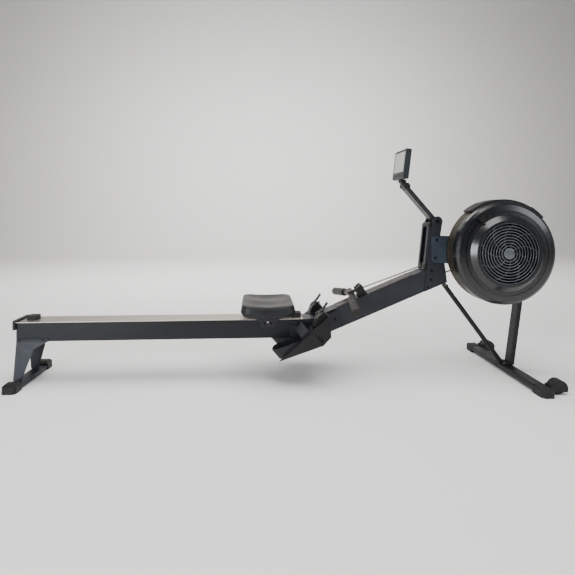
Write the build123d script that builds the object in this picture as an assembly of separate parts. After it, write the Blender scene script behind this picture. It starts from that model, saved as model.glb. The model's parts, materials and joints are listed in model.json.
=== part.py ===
from build123d import *
import os
from math import atan2, cos, degrees, hypot, pi, radians, sin

# Air-resistance rowing machine. Millimetres, +Z up, +X from the tail of the rail towards the
# flywheel, +Y towards the far side. The origin is on the floor, under the middle of the machine.
# Every node is one real piece, or one group of identical fasteners.

# Driving dimensions ---------------------------------------------------------------------------
fit_gap = 0.3                # between pieces of different bodies whose faces run close
running_gap = 0.05           # radial clearance of a shaft in its bore

# rail
rail_length = 1346
rail_width = 92
rail_height = 85
rail_wall = 3
rail_top_z = 275             # running surface of the track
track_width = 104
track_thickness = 3
end_cap_thickness = 13
end_cap_hood = 20            # length of the hood over the track

# tail leg and foot
leg_plate_thickness = 4
tail_leg_splay = 8.3         # degrees, each plate leans outwards
tail_foot_width = 320
tail_foot_length = 60
tail_foot_bar_height = 22
tail_foot_end_height = 40

# boom
boom_slope = 22.3            # degrees
boom_length = 600
boom_height = 92
boom_width = 76
boom_wall = 3

# post
post_lean = 6.2              # degrees
post_foot_along = 538        # distance along the boom to the post's front edge
post_height = 336            # up the post, from the boom's lower edge to the arm pivot
post_plate_width = 50
post_plate_thickness = 4

# flywheel housing
drum_radius = 236
drum_reach = 853             # from the rail's front end to the axle
axle_height = 580
axle_radius = 8
drum_gap = 1                 # from the plates to the back of the housing
drum_depth = 114
grille_radius = 138
cover_wall = 3
flywheel_radius = 205
sprocket_teeth = 14
chain_pitch = 12.7

# front stand
front_foot_width = 610
front_foot_depth = 57
front_foot_height = 34
front_leg_width = 50
front_leg_thickness = 22
strut_radius = 11
wheel_radius = 26
wheel_width = 24

# footrests
footrest_slope = 41.3        # degrees
footrest_inner = 52          # from the middle plane to the inner edge
footrest_outer = 161
footrest_length = 298

# seat
seat_length = 247
seat_width = 296
seat_height = 52
carriage_gap = 4.5           # between the rail track's edge and a carriage plate
top_roller_radius = 11
guide_roller_radius = 9
roller_axle_radius = 4

# handle
handle_half_span = 235
handle_grip_radius = 19
handle_core_radius = 11
chain_lift = 31              # chain above the boom's top face

# monitor
monitor_width = 152
monitor_height = 140
monitor_depth = 27
monitor_tilt = 7             # degrees
arm_length = 221
arm_rise = 49                # degrees above horizontal, towards the rower
arm_width = 50
arm_depth = 20
arm_wall = 3
button_radius = 4.5

# Derived places -------------------------------------------------------------------------------
overall_length = end_cap_thickness + rail_length + drum_reach + drum_radius
rail_rear = -overall_length / 2 + end_cap_thickness
rail_front = rail_rear + rail_length
beam_top = rail_top_z - track_thickness
beam_bottom = beam_top - rail_height
axle_x = rail_front + drum_reach
boom_side = boom_width / 2
post_side = boom_side + post_plate_thickness
plate_side = post_side + post_plate_thickness
chain_radius = chain_pitch / 2 / sin(pi / sprocket_teeth)


def turned(angle):
    return cos(radians(angle)), sin(radians(angle))


def side_plane(x, z, slope):
    # local x runs up the slope, local y is perpendicular to it, the normal is -Y
    along, rise = turned(slope)
    return Plane(origin=(x, 0, z), x_dir=(along, 0, rise), z_dir=(0, -1, 0))


from_end = (Align.CENTER, Align.CENTER, Align.MIN)      # a solid that stands on its plane
level = side_plane(0, 0, 0)
boom = side_plane(rail_front, (beam_top + beam_bottom) / 2, boom_slope)


def place(plane, along, up):
    # world X and Z of a point given in a side plane
    point = plane.from_local_coords(Vector(along, up, 0))
    return point.X, point.Z


post_x, post_z = place(boom, post_foot_along, -boom_height / 2)
post = side_plane(post_x, post_z, -post_lean)            # local x points rearwards, y up the post
footrest = side_plane(rail_front - 175, 117, footrest_slope)


def block(x0, x1, y0, y1, z0, z1):
    return Pos((x0 + x1) / 2, (y0 + y1) / 2, (z0 + z1) / 2) * Box(x1 - x0, y1 - y0, z1 - z0)


def prism(plane, points, y0, y1):
    # a polygon given in a side plane, as thick as the span from y0 to y1
    moved = Plane(plane.origin + Vector(0, y1, 0), x_dir=plane.x_dir, z_dir=plane.z_dir)
    return extrude(moved * Polygon(*points, align=None), amount=y1 - y0, dir=(0, -1, 0))


def slab(plane, x0, x1, z0, z1, y0, y1):
    return prism(plane, [(x0, z0), (x1, z0), (x1, z1), (x0, z1)], y0, y1)


def rod(x, z, radius, y0, y1):
    # a round bar along Y
    return Pos(x, (y0 + y1) / 2, z) * Rot(90, 0, 0) * Cylinder(radius, y1 - y0)


def tube(x, z, radius, bore, y0, y1):
    return rod(x, z, radius, y0, y1) - rod(x, z, bore, y0 - 1, y1 + 1)


def bar_between(start, end, radius):
    # a round bar between two points
    run = Vector(*end) - Vector(*start)
    return Plane(origin=start, z_dir=run) * Cylinder(radius, run.length, align=from_end)


def spun(profile, x, z, arc=360):
    # a (radius, y) outline turned about the axle line through x, z
    return Pos(x, 0, z) * revolve(Polygon(*profile, align=None), Axis.Y, revolution_arc=arc)


def mirrored(shape):
    return mirror(shape, about=Plane.XZ)


def bolt(x, z, y_face, out, radius=4, head=7, head_height=4, length=12):
    # a button-head bolt along Y; out is -1 on the near side and +1 on the far side
    tip = y_face - out * length
    shank = rod(x, z, radius, min(y_face, tip), max(y_face, tip))
    top = y_face + out * head_height
    cap = rod(x, z, head, min(y_face, top), max(y_face, top))
    socket_floor = top - out * head_height * 0.6
    socket = rod(x, z, head * 0.45, min(socket_floor, top + out), max(socket_floor, top + out))
    return shank + cap - socket


nodes = {}

# Rail -----------------------------------------------------------------------------------------
rail_side = rail_width / 2
rail_inside = rail_side - rail_wall
nodes["rail_beam"] = block(rail_rear, rail_front, -rail_side, rail_side, beam_bottom, beam_top) - block(
    rail_rear - 1, rail_front + 1, -rail_inside, rail_inside, beam_bottom + rail_wall, beam_top - rail_wall)

track_side = track_width / 2
track = block(rail_rear, rail_front - 60, -track_side, track_side, beam_top, rail_top_z)
nodes["rail_track"] = fillet(track.edges().filter_by(Axis.X).group_by(Axis.Z)[-1], 1.2)

cap_side = track_side + 4
cap_top = rail_top_z + 8
cap_lip = rail_top_z - 34
end_cap = block(rail_rear - end_cap_thickness, rail_rear, -cap_side, cap_side, cap_lip, cap_top)
hood_end = rail_rear + end_cap_hood - end_cap_thickness
end_cap += block(rail_rear, hood_end, -cap_side, cap_side, rail_top_z, cap_top)
nodes["rail_end_cap"] = chamfer(end_cap.faces().sort_by(Axis.X)[0].edges(), 3)

# Rubber stops under the seat's reach: the carriage runs between them.
stop_front_x = rail_front - 110
stop_height = 20
seat_stops = [block(x, x + 45, -20, 20, rail_top_z, rail_top_z + stop_height)
              for x in (rail_rear + 30, stop_front_x)]
nodes["seat_stops"] = [fillet(stop.edges().filter_by(Axis.Z), 5) for stop in seat_stops]

# Tail leg -------------------------------------------------------------------------------------
flange_height = 12
tail_leg_length = 139                 # along the rail, at the top
leg_top = rail_side
leg_drop = beam_bottom - tail_foot_bar_height
leg_lean, leg_upright = sin(radians(tail_leg_splay)), cos(radians(tail_leg_splay))


def tail_leg():
    sheet = tail_leg_outline(rail_rear + 2)
    tilted = Plane(origin=(0, -leg_top, beam_bottom), x_dir=(1, 0, 0), z_dir=(0, -leg_upright, leg_lean))
    leaning = extrude(tilted * Polygon(*sheet, align=None), amount=leg_plate_thickness, dir=tilted.z_dir)
    flange = block(rail_rear + 2, rail_rear + 2 + tail_leg_length, -leg_top - leg_plate_thickness, -leg_top,
                   beam_bottom - 1, beam_bottom + flange_height)
    return (leaning + flange) - block(rail_rear, rail_rear + 200, -leg_top, leg_top, 0, beam_top)


def tail_leg_outline(x):
    # the front edge sweeps in below the rail, then runs down to the foot
    drop = -leg_drop / leg_upright
    return [(x, 0), (x + tail_leg_length, 0), (x + 78, drop * 0.19), (x + 57, drop * 0.57), (x + 35, drop),
            (x, drop)]


tail_leg_near = tail_leg()
nodes["tail_leg_plates"] = [tail_leg_near, mirrored(tail_leg_near)]
tail_screw = {"radius": 2.5, "head": 4.5, "head_height": 2.5, "length": 9}
tail_screws = [bolt(rail_rear + x, beam_bottom + flange_height / 2, side * (leg_top + leg_plate_thickness), side,
                    **tail_screw)
               for x in (16, 118) for side in (-1, 1)]

foot_front = rail_rear + tail_foot_length
foot_half = tail_foot_width / 2
tail_end_length = 50
tail_bar = block(rail_rear + 3, foot_front - 3, -foot_half + tail_end_length, foot_half - tail_end_length, 4,
                 tail_foot_bar_height)
nodes["tail_foot_bar"] = fillet(tail_bar.edges().filter_by(Axis.Y), 4)


def tail_foot_end():
    shape = block(rail_rear, foot_front, -foot_half, -foot_half + tail_end_length, 0, tail_foot_end_height)
    shape = chamfer(shape.edges().group_by(Axis.Z)[-1], 11)
    return chamfer(shape.faces().sort_by(Axis.Y)[0].edges().filter_by(Axis.Z), 9)


nodes["tail_foot_ends"] = [tail_foot_end(), mirrored(tail_foot_end())]

# Boom -----------------------------------------------------------------------------------------
half_height = boom_height / 2
boom_start = 30
boom_box = slab(boom, boom_start, boom_length, -half_height, half_height, -boom_side, boom_side)
boom_hole = slab(boom, boom_start - 1, boom_length + 1, -half_height + boom_wall, half_height - boom_wall,
                 -boom_side + boom_wall, boom_side - boom_wall)
rail_end_cut = block(rail_front - 200, rail_front + 2, -rail_side, rail_side, beam_bottom - 60, beam_top + 60)
nodes["boom_beam"] = (boom_box - boom_hole) - rail_end_cut
strip_thickness = 3
strip = slab(boom, 130, post_foot_along - 22, half_height, half_height + strip_thickness, -boom_side + 4,
             boom_side - 4)

# The rail and the boom bolt to a pair of cheek plates hidden behind the footrests.
cheek_thickness = 4
cheek_outline = [(rail_front - 120, beam_bottom + 4), (rail_front + 8, beam_bottom + 4),
                 place(boom, 120, -half_height + 4), place(boom, 120, half_height - 8),
                 place(boom, 40, half_height - 8), (rail_front - 120, beam_top - 8)]
cheek = prism(level, cheek_outline, -rail_side - cheek_thickness, -rail_side)
spacer = slab(boom, 50, 112, -30, 30, -rail_side, -boom_side)
nodes["joint_cheeks"] = [cheek, mirrored(cheek), spacer, mirrored(spacer)]

frame_bolts = list(tail_screws)
for side in (-1, 1):
    for x in (-110, -80):
        frame_bolts.append(bolt(rail_front + x, beam_bottom + 62, side * (rail_side + cheek_thickness), side,
                                length=8))
    for along in (65, 98):
        x, z = place(boom, along, 0)
        frame_bolts.append(bolt(x, z, side * (rail_side + cheek_thickness), side, length=14))

# Handle rest: a block with a slot that is open at the top for the chain.
rest_start, rest_length, rest_side = 244, 42, 26
rest_outline = [(rest_start, half_height), (rest_start + 2, half_height + 42), (rest_start + 29, half_height + 52),
                (rest_start + 34, half_height + 51), (rest_start + rest_length, half_height)]
handle_rest = prism(boom, rest_outline, -rest_side, rest_side)
slot_side = 7
slot_low = half_height + chain_lift - 9
chain_slot = slab(boom, rest_start - 5, rest_start + rest_length + 8, slot_low, slot_low + 40, -slot_side,
                  slot_side)
nodes["handle_rest"] = handle_rest - chain_slot
rest_seat = slab(boom, rest_start - 2, rest_start + rest_length + 2, half_height - 1,
                 half_height + strip_thickness + 1, -boom_side, boom_side)
nodes["boom_top_strip"] = strip - rest_seat

# Post -----------------------------------------------------------------------------------------
pivot_along = 27
post_lap_length = 118                 # along the boom
post_neck = 140                       # height at which the plate becomes narrow
post_eye_radius = 24
arm_pin_radius = 6
pivot_x, pivot_z = place(post, pivot_along, post_height)


def post_plate():
    # it widens below, where it laps the end of the boom, and ends in a round eye
    tail_x, tail_z = place(boom, post_foot_along + post_lap_length, -half_height)
    outline = [place(post, 0, 0), (tail_x, tail_z), (tail_x - 14, tail_z + 96), place(post, 42, post_neck),
               place(post, post_plate_width, post_height), place(post, 2, post_height), place(post, 0, post_neck)]
    plate = prism(level, outline, -post_side, -boom_side)
    eye = rod(pivot_x, pivot_z, post_eye_radius, -post_side, -boom_side)
    return plate + eye - rod(pivot_x, pivot_z, arm_pin_radius + running_gap, -post_side - 1, -boom_side + 1)


plate = post_plate()
nodes["post_plates"] = [plate, mirrored(plate)]

channel_front, channel_back = -12, 22
channel_low, channel_high = 134, 306
channel_wall = 4
channel = slab(post, channel_front, channel_back, channel_low, channel_high, -boom_side, boom_side)
channel -= slab(post, channel_front - 1, channel_back - channel_wall, channel_low - 1, channel_high + 1,
                -boom_side + channel_wall, boom_side - channel_wall)
lip = slab(post, channel_front, channel_front + 3, channel_low, channel_high, -boom_side, -boom_side + 16)
chain_way = slab(post, channel_front - 1, channel_back + 8, channel_low - 26, channel_low + 14, -8, 8)
nodes["post_channel"] = channel + lip + mirrored(lip) - chain_way
cap_height = 22
cap = slab(post, channel_front, 0, channel_high, channel_high + cap_height, -boom_side, boom_side)
nodes["post_cap"] = chamfer(cap.edges().filter_by(Axis.Y).group_by(Axis.Z)[-1].sort_by(Axis.X)[0], 9)

# The chain leaves the post through a guide block.
guide_low = 98
guide = slab(post, channel_front, channel_back + 4, guide_low, channel_low, -boom_side, boom_side)
boom_room = slab(boom, 0, boom_length + 100, -half_height, half_height + strip_thickness, -boom_side - 2,
                 boom_side + 2)
nodes["chain_guide"] = guide - chain_way - boom_room

for side in (-1, 1):
    for along, up in ((24, 102), (14, 22), (24, 60)):
        x, z = place(post, along, up)
        frame_bolts.append(bolt(x, z, side * post_side, side, head=6, head_height=3, length=6))

# Drum plates ------------------------------------------------------------------------------------
# A pair of plates carries the axle behind the housing and the top of the front leg.
plate_x = rail_front + 547
plate_low, plate_high = 529, 652
leg_top_x, leg_top_z = axle_x + 172, axle_height - 20


def drum_plate():
    outline = [(plate_x, plate_low), (axle_x, axle_height - 70), (leg_top_x + 22, leg_top_z - 24),
               (leg_top_x + 22, leg_top_z + 24), (axle_x, axle_height + 62), (plate_x, plate_high)]
    shape = prism(level, outline, -plate_side, -post_side)
    corners = shape.edges().filter_by(Axis.Y).group_by(Axis.X)
    shape = fillet(corners[0] + corners[-1], 18)
    return shape - rod(axle_x, axle_height, axle_radius, -plate_side - 1, -post_side + 1)


nodes["drum_plates"] = [drum_plate(), mirrored(drum_plate())]
for side in (-1, 1):
    for x, z in ((25, 106), (17, 22)):
        face = side * plate_side
        frame_bolts.append(bolt(plate_x + x, plate_low + z, face, side, head=6, head_height=3, length=7))

# Flywheel housing ---------------------------------------------------------------------------------
back = -plate_side - drum_gap
rim_front = back - 62
face_y = back - drum_depth
seam_radius = 190
seam_depth = 3
seam_width = 3
band_back = back - 8
nodes["drum_axle"] = rod(axle_x, axle_height, axle_radius, face_y + 8, plate_side + 6)
nodes["drum_back_cover"] = spun([(axle_radius, back), (drum_radius - 6, back), (drum_radius, back - 3),
                                 (drum_radius, band_back), (drum_radius - 3, band_back), (drum_radius - 6, back - 4),
                                 (axle_radius, back - 4)], axle_x, axle_height)
band_outer, band_inner = drum_radius - 0.5, drum_radius - 3
nodes["drum_rim_band"] = spun([(band_inner, band_back), (band_outer, band_back), (band_outer, rim_front),
                               (band_inner, rim_front)], axle_x, axle_height)

# Near cover, from its rim to the grille: a rounded shoulder, a seam, a flat ring and a cone.
ring_y = rim_front - 33
cone_foot, cone_top = 172, 150
shoulder = [(drum_radius, rim_front), (drum_radius, rim_front - 12), (drum_radius - 5, rim_front - 22),
            (drum_radius - 17, rim_front - 29), (seam_radius + seam_width, ring_y)]
seam_floor = ring_y + seam_depth
seam = [(seam_radius + seam_width, seam_floor), (seam_radius, seam_floor), (seam_radius, ring_y - 1)]
cone = [(cone_foot, ring_y - 2), (cone_top, face_y), (grille_radius, face_y), (grille_radius, face_y + 8)]
cone_inside = [(cone_top - 4, face_y + 8), (cone_top - 1, face_y + 3.5), (cone_foot - 2, ring_y + 1),
               (seam_radius - cover_wall, ring_y + 2), (seam_radius, seam_floor + cover_wall)]
shoulder_inside = [(seam_radius + seam_width + 1, seam_floor + cover_wall), (drum_radius - 19, rim_front - 26),
                   (drum_radius - 8, rim_front - 19.5), (drum_radius - cover_wall, rim_front - 11),
                   (drum_radius - cover_wall, rim_front)]
nodes["drum_near_cover"] = spun(shoulder + seam + cone + cone_inside + shoulder_inside, axle_x,
                               axle_height)


def grille():
    # rings about a hub disc, on straight spokes
    ring_width, ring_depth = 3.2, 4
    rings, spokes = 9, 8
    hub = 26
    low = face_y + 2
    high = low + ring_depth
    step = (grille_radius - hub) / rings
    shape = spun([(0, low), (hub, low), (hub, high), (0, high)], axle_x, axle_height)
    for index in range(1, rings + 1):
        outer = hub + index * step
        inner = outer - ring_width
        shape += spun([(inner, low), (outer, low), (outer, high), (inner, high)], axle_x, axle_height)
    for index in range(spokes):
        spoke = Pos(0, face_y + 4, (hub + grille_radius) / 2 - 1) * Box(2.4, 3, grille_radius - hub)
        shape += Pos(axle_x, 0, axle_height) * Rot(0, index * 360 / spokes, 0) * spoke
    return shape


nodes["drum_grille"] = grille()


def rim_piece(start, span, depth, y0, y1):
    # a raised piece on the rim; start is measured from +X, turning upwards
    outline = [(drum_radius, y0), (drum_radius + depth, y0), (drum_radius + depth, y1), (drum_radius, y1)]
    piece = revolve(Polygon(*outline, align=None), Axis.Y, revolution_arc=span)
    return Pos(axle_x, 0, axle_height) * Rot(0, -start - span, 0) * piece


clip_height, shroud_height = 11, 9
nodes["drum_clips"] = [rim_piece(start, span, clip_height, back - 1, rim_front - 8)
                       for start, span in ((110, 19), (41, 17))]
nodes["drum_top_shroud"] = rim_piece(59, 50, shroud_height, back - 2, rim_front - 6)

# Damper: a ring inside the cover's seam with a pointer that is moved round the face.
damper_angle = 128
lever_gap = 1.5
lever_low = ring_y - 2 - lever_gap
lever_inner, lever_outer = 175, 223
lever_profile = [(lever_inner, lever_low), (lever_outer, lever_low), (lever_outer, lever_low - 7),
                 (lever_outer - 18, lever_low - 11), (lever_inner, lever_low - 9)]


def damper():
    paddle = revolve(Polygon(*lever_profile, align=None), Axis.Y, revolution_arc=14)
    paddle = Rot(0, -damper_angle - 7, 0) * paddle
    tip = Polygon((lever_inner - 8, 0), (lever_outer + 4, 28), (lever_outer + 4, -28), align=None)
    aim = Plane(origin=(0, rim_front, 0), x_dir=(cos(radians(damper_angle)), 0, sin(radians(damper_angle))),
                z_dir=(0, -1, 0))
    paddle = paddle & extrude(aim * tip, amount=drum_depth, dir=(0, -1, 0))
    stem_radius = seam_radius + seam_width / 2
    stem_low, stem_high = ring_y + seam_depth - 0.5, lever_low - 5
    stem_outline = [(stem_radius - 1, stem_low), (stem_radius + 1, stem_low), (stem_radius + 1, stem_high),
                    (stem_radius - 1, stem_high)]
    stem = revolve(Polygon(*stem_outline, align=None), Axis.Y, revolution_arc=6)
    stem = Rot(0, -damper_angle - 3, 0) * stem
    return Pos(axle_x, 0, axle_height) * (paddle + stem)


nodes["damper_lever"] = damper()


def fan():
    fan_back, fan_front = back - 12, rim_front - 22
    shape = spun([(axle_radius + running_gap, fan_back), (flywheel_radius, fan_back),
                  (flywheel_radius, fan_back - 4), (axle_radius + running_gap, fan_back - 4)], axle_x, axle_height)
    shape += spun([(axle_radius + running_gap, fan_back), (30, fan_back), (24, fan_front),
                   (axle_radius + running_gap, fan_front)], axle_x, axle_height)
    blades = 24
    for index in range(blades):
        blade = Rot(0, 30, 0) * Box(70, fan_back - fan_front, 2)
        blade = Pos(flywheel_radius - 40, (fan_back + fan_front) / 2, 0) * blade
        shape += Pos(axle_x, 0, axle_height) * Rot(0, index * 360 / blades, 0) * blade
    return shape


nodes["flywheel_fan"] = fan()


tooth_rise = 2.4                      # of a tooth above the chain's circle


def sprocket():
    tip = chain_radius + tooth_rise
    root = chain_radius - 3
    points = []
    for index in range(sprocket_teeth):
        for share, radius in ((0, root), (0.3, root), (0.45, tip), (0.55, tip), (0.7, root)):
            across, up = turned((index + share) * 360 / sprocket_teeth)
            points.append((radius * across, radius * up))
    wheel = prism(side_plane(axle_x, axle_height, 0), points, -1.5, 1.5)
    hub = tube(axle_x, axle_height, axle_radius + 4, axle_radius + running_gap, -30, 30)
    return (wheel + hub) - rod(axle_x, axle_height, axle_radius + running_gap, -31, 31)


nodes["sprocket"] = sprocket()

# Front stand ----------------------------------------------------------------------------------
stand_x = axle_x + 74                 # middle of the foot bar
bar_half = front_foot_depth / 2
bar_low = 8
foot_half_width = front_foot_width / 2
foot_end_length = 66


def leaning_bar(start, end, width, thickness):
    # a flat tube from start to end, both (x, z), width along Y
    length = hypot(end[0] - start[0], end[1] - start[1])
    angle = degrees(atan2(end[1] - start[1], end[0] - start[0]))
    plane = side_plane(start[0], start[1], angle)
    shape = slab(plane, 0, length, -thickness / 2, thickness / 2, -width / 2, width / 2)
    return fillet(shape.edges().filter_by(Axis(plane.origin, plane.x_dir)), thickness * 0.3)


leg_foot = (stand_x + 26, front_foot_height + 2)
front_leg = leaning_bar(leg_foot, (leg_top_x, leg_top_z), front_leg_width, front_leg_thickness)
cross_tube = rod(leg_top_x, leg_top_z, 14, -post_side, post_side)
sole = block(stand_x - 20, stand_x + 24, -32, 32, front_foot_height, front_foot_height + 5)
heel = block(stand_x + 10, stand_x + 34, -front_leg_width / 2, front_leg_width / 2, front_foot_height,
             front_foot_height + 8)
nodes["front_leg"] = front_leg + cross_tube + sole + heel

# The strut stands on the foot bar and hangs from a pin between the post plates.
strut_pin_x, strut_pin_z = place(post, 108, 40)
strut_pin = rod(strut_pin_x, strut_pin_z, 5, -boom_side, boom_side)
strut_foot = (stand_x - 14, 0, front_foot_height + 2)
strut = bar_between(strut_foot, (strut_pin_x, 0, strut_pin_z), strut_radius)
under_strut = block(stand_x - 60, stand_x + 60, -40, 40, 0, front_foot_height)
nodes["front_strut"] = strut - under_strut - nodes["front_leg"] - strut_pin

bar = block(stand_x - bar_half, stand_x + bar_half, -foot_half_width + foot_end_length,
            foot_half_width - foot_end_length, bar_low, front_foot_height)
nodes["front_foot_bar"] = fillet(bar.edges().filter_by(Axis.Y), 8)

wheel_x = stand_x + 66
wheel_z = wheel_radius + 1
wheel_mid = foot_half_width - 46
wheel_low, wheel_high = -wheel_mid - wheel_width / 2, -wheel_mid + wheel_width / 2
wheel_axle_radius = 4
fender_gap = 5
fender_wall = 4
fender_side = 6                       # from the wheel's side to the outside of the fender


def foot_end():
    near = -foot_half_width
    inner = near + foot_end_length
    foot = block(stand_x - bar_half - 1, stand_x + bar_half + 1, near, inner, 0, front_foot_height + 2)
    foot = chamfer(foot.edges().group_by(Axis.Z)[-1], 8)
    foot = chamfer(foot.faces().sort_by(Axis.Y)[0].edges().filter_by(Axis.Z), 12)
    outer_radius = wheel_radius + fender_gap + fender_wall
    y0, y1 = wheel_low - fender_side, wheel_high + fender_side
    dome = rod(wheel_x, wheel_z, outer_radius, y0, y1)
    dome -= block(wheel_x - 100, wheel_x + 100, y0 - 1, y1 + 1, -50, wheel_z - 14)
    dome += block(stand_x + bar_half - 4, wheel_x, y0, y1, wheel_z - 14, wheel_z + 14)
    room = rod(wheel_x, wheel_z, wheel_radius + fender_gap, y0 + 3, y1 - 3)
    bore = rod(wheel_x, wheel_z, wheel_axle_radius, y0 - 1, y1 + 1)
    return foot + dome - room - bore


def caster():
    body = tube(wheel_x, wheel_z, wheel_radius, wheel_axle_radius + running_gap, wheel_low, wheel_high)
    return chamfer(body.edges().filter_by(GeomType.CIRCLE).sort_by(SortBy.RADIUS)[-2:], 3)


nodes["front_foot_ends"] = [foot_end(), mirrored(foot_end())]
nodes["caster_near"] = caster()
nodes["caster_far"] = mirrored(caster())
caster_axle = rod(wheel_x, wheel_z, wheel_axle_radius, wheel_low - fender_side, wheel_high + fender_side)
frame_bolts += [strut_pin, caster_axle, mirrored(caster_axle)]
for y in (-27.5, 27.5):
    frame_bolts.append(Pos(stand_x - 8, y, front_foot_height + 5) * Cylinder(6, 4, align=from_end))
nodes["frame_bolts"] = frame_bolts


# Footrests --------------------------------------------------------------------------------------
plate_drop = 7                        # the sole sits below the skirt's edge
plate_depth = 8
skirt_thickness = 16
skirt_inner = footrest_outer - skirt_thickness
skirt_foot, skirt_heel = (189, -76), (238, -73)          # the skirt's two low corners


def footplate():
    start, end = 46, footrest_length - 8
    shape = slab(footrest, start, end, -plate_drop - plate_depth, -plate_drop, -skirt_inner, -footrest_inner)
    rim = slab(footrest, start, end, -plate_drop, -1, -skirt_inner, -skirt_inner + 4)
    bracket = block(rail_front - 60, rail_front - 20, -footrest_inner, -rail_side - cheek_thickness,
                    beam_bottom + 20, beam_bottom + 50)
    return shape + rim + bracket


def skirt():
    # a panel with two facets that meet on a crease, and a wall that runs back under the plate
    corners = [(0, 0), skirt_foot, skirt_heel, (footrest_length, 0)]
    panel = prism(footrest, corners, -footrest_outer, -skirt_inner)
    crease_start = Vector(place(footrest, 185, 0)[0], -footrest_outer, place(footrest, 185, 0)[1])
    crease_end = Vector(place(footrest, *skirt_foot)[0], -footrest_outer, place(footrest, *skirt_foot)[1])
    for along, depth in ((0, 7), (footrest_length, 9)):
        far_x, far_z = place(footrest, along, 0)
        far_corner = Vector(far_x, -footrest_outer + depth, far_z)
        normal = (crease_end - crease_start).cross(far_corner - crease_start)
        if normal.Y > 0:
            normal = normal * -1
        facet = Plane(origin=crease_start, x_dir=crease_end - crease_start, z_dir=normal)
        panel -= facet * Box(900, 900, 60, align=from_end)
    wall = [(22, -9), skirt_foot, skirt_heel, (236, -69), (189, -71), (30, -9)]
    back_wall = prism(footrest, wall, -skirt_inner, -footrest_inner)
    slot = slab(footrest, 192, 206, -62, -30, -footrest_outer - 1, -footrest_outer + 9)
    return panel + back_wall - slot


footrest_skirt = skirt()
foot_tray = footplate()
nodes["footrest_skirts"] = [footrest_skirt, mirrored(footrest_skirt)]
nodes["footplates"] = [foot_tray, mirrored(foot_tray)]

flex_inner, flex_outer = -footrest_inner - 3, -footrest_outer + 24
flex_middle = (flex_inner + flex_outer) / 2
flex_half = (flex_inner - flex_outer) / 2


def flexfoot():
    # a sole with a raised heel cup at its low end and a perforated tongue at its high end
    low = -plate_drop + fit_gap
    heel, toe, sheet = 40, 199, 4
    sole = slab(footrest, heel, toe, low, low + sheet, flex_outer, flex_inner)
    floor_plane = Plane(origin=footrest.origin + Vector(0, flex_middle, 0), x_dir=footrest.x_dir,
                        z_dir=footrest.y_dir)
    # the heel cup runs on as low side walls, which end behind the strap
    wall_height, wall_end = 52, 125
    cup = floor_plane * Pos(heel, 0, low) * Cylinder(flex_half, wall_height, align=from_end)
    cup += slab(footrest, heel, wall_end, low, low + wall_height, flex_outer, flex_inner)
    cup -= floor_plane * Pos(heel, 0, low + sheet) * Cylinder(flex_half - sheet, 60, align=from_end)
    cup -= slab(footrest, heel, wall_end + 1, low + sheet, low + 60, flex_outer + sheet, flex_inner - sheet)
    slope_cut = [(12, low + 60), (12, low + wall_height), (wall_end + 1, low + 8), (wall_end + 1, low + 60)]
    cup -= prism(footrest, slope_cut, flex_outer - 1, flex_inner + 1)
    ridge_pitch, ridge_width = 11, 4
    for index in range(10):
        start = 95 + index * ridge_pitch
        sole += slab(footrest, start, start + ridge_width, low + sheet, low + sheet + 2, flex_outer + 6,
                     flex_inner - 6)
    tongue_half = 13
    side_view = [(196, low), (240, 14), (325, 34), (325, 39), (238, 19), (194, low + sheet)]
    tongue = prism(footrest, side_view, flex_middle - tongue_half, flex_middle + tongue_half)
    hole_pitch, hole_length, hole_half = 12, 5, 7
    for index in range(5):
        start = 262 + index * hole_pitch
        tongue -= slab(footrest, start, start + hole_length, 5, 60, flex_middle - hole_half,
                       flex_middle + hole_half)
    return sole + cup + tongue


flex = flexfoot()
nodes["flexfoot_near"] = flex
nodes["flexfoot_far"] = mirrored(flex)

toe_profile = [(212, -plate_drop), (286, -plate_drop), (286, 24), (256, 26), (212, 4)]
toe_pad = prism(footrest, toe_profile, flex_middle - 34, flex_middle + 34)
tongue_way = [(205, -5), (225, -5), (262, 8), (290, 8), (290, 60), (205, 60)]
toe_pad -= prism(footrest, tongue_way, flex_middle - 16, flex_middle + 16)
nodes["toe_pads"] = [toe_pad, mirrored(toe_pad)]


def foot_strap():
    # webbing that rises from the inner side, crosses the foot and goes down through the skirt
    start, width, thickness, crest = 136, 44, 2.5, 44
    inner, outer = flex_inner + thickness + fit_gap, flex_outer - thickness - fit_gap
    low = -plate_drop
    low_edge = footrest.from_local_coords(Vector(start, 0, 0))
    across = Plane(origin=low_edge, x_dir=(0, 1, 0), z_dir=footrest.x_dir)
    up = 1 if across.y_dir.Z > 0 else -1
    outside = [(inner, low), (inner, 22), (inner - 18, crest), (outer + 26, crest - 4), (outer, 12), (outer, low)]
    inside = [(outer + thickness, low), (outer + thickness, 11), (outer + 27, crest - 4 - thickness),
              (inner - 19, crest - thickness), (inner - thickness, 21), (inner - thickness, low)]
    section = across * Polygon(*[(y, up * n) for y, n in outside + inside], align=None)
    return extrude(section, amount=width, dir=footrest.x_dir)


strap = foot_strap()
nodes["foot_strap_near"] = strap
nodes["foot_strap_far"] = mirrored(strap)

# Seat -----------------------------------------------------------------------------------------
seat_x = rail_front - 222             # middle of the carriage
seat_low = rail_top_z + 28
base_height = 14
carriage_side = track_side + carriage_gap
carriage_plate = 3
track_gap = 0.1                       # a resting roller, as good as touching
axle_z = rail_top_z + top_roller_radius + track_gap
seat_middle = seat_x - 0.5


def saddle():
    low = seat_low + base_height
    high = seat_low + seat_height
    outline = Pos(seat_middle, 0, low) * RectangleRounded(seat_length, seat_width, 46)
    shape = extrude(outline, amount=high - low, taper=14)
    dish_radius, dish_depth = 400, 9
    shape -= rod(seat_middle + 2, high + dish_radius - dish_depth, dish_radius, -seat_width, seat_width)
    return fillet(shape.faces().sort_by(Axis.Z)[0].edges(), 2)


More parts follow.
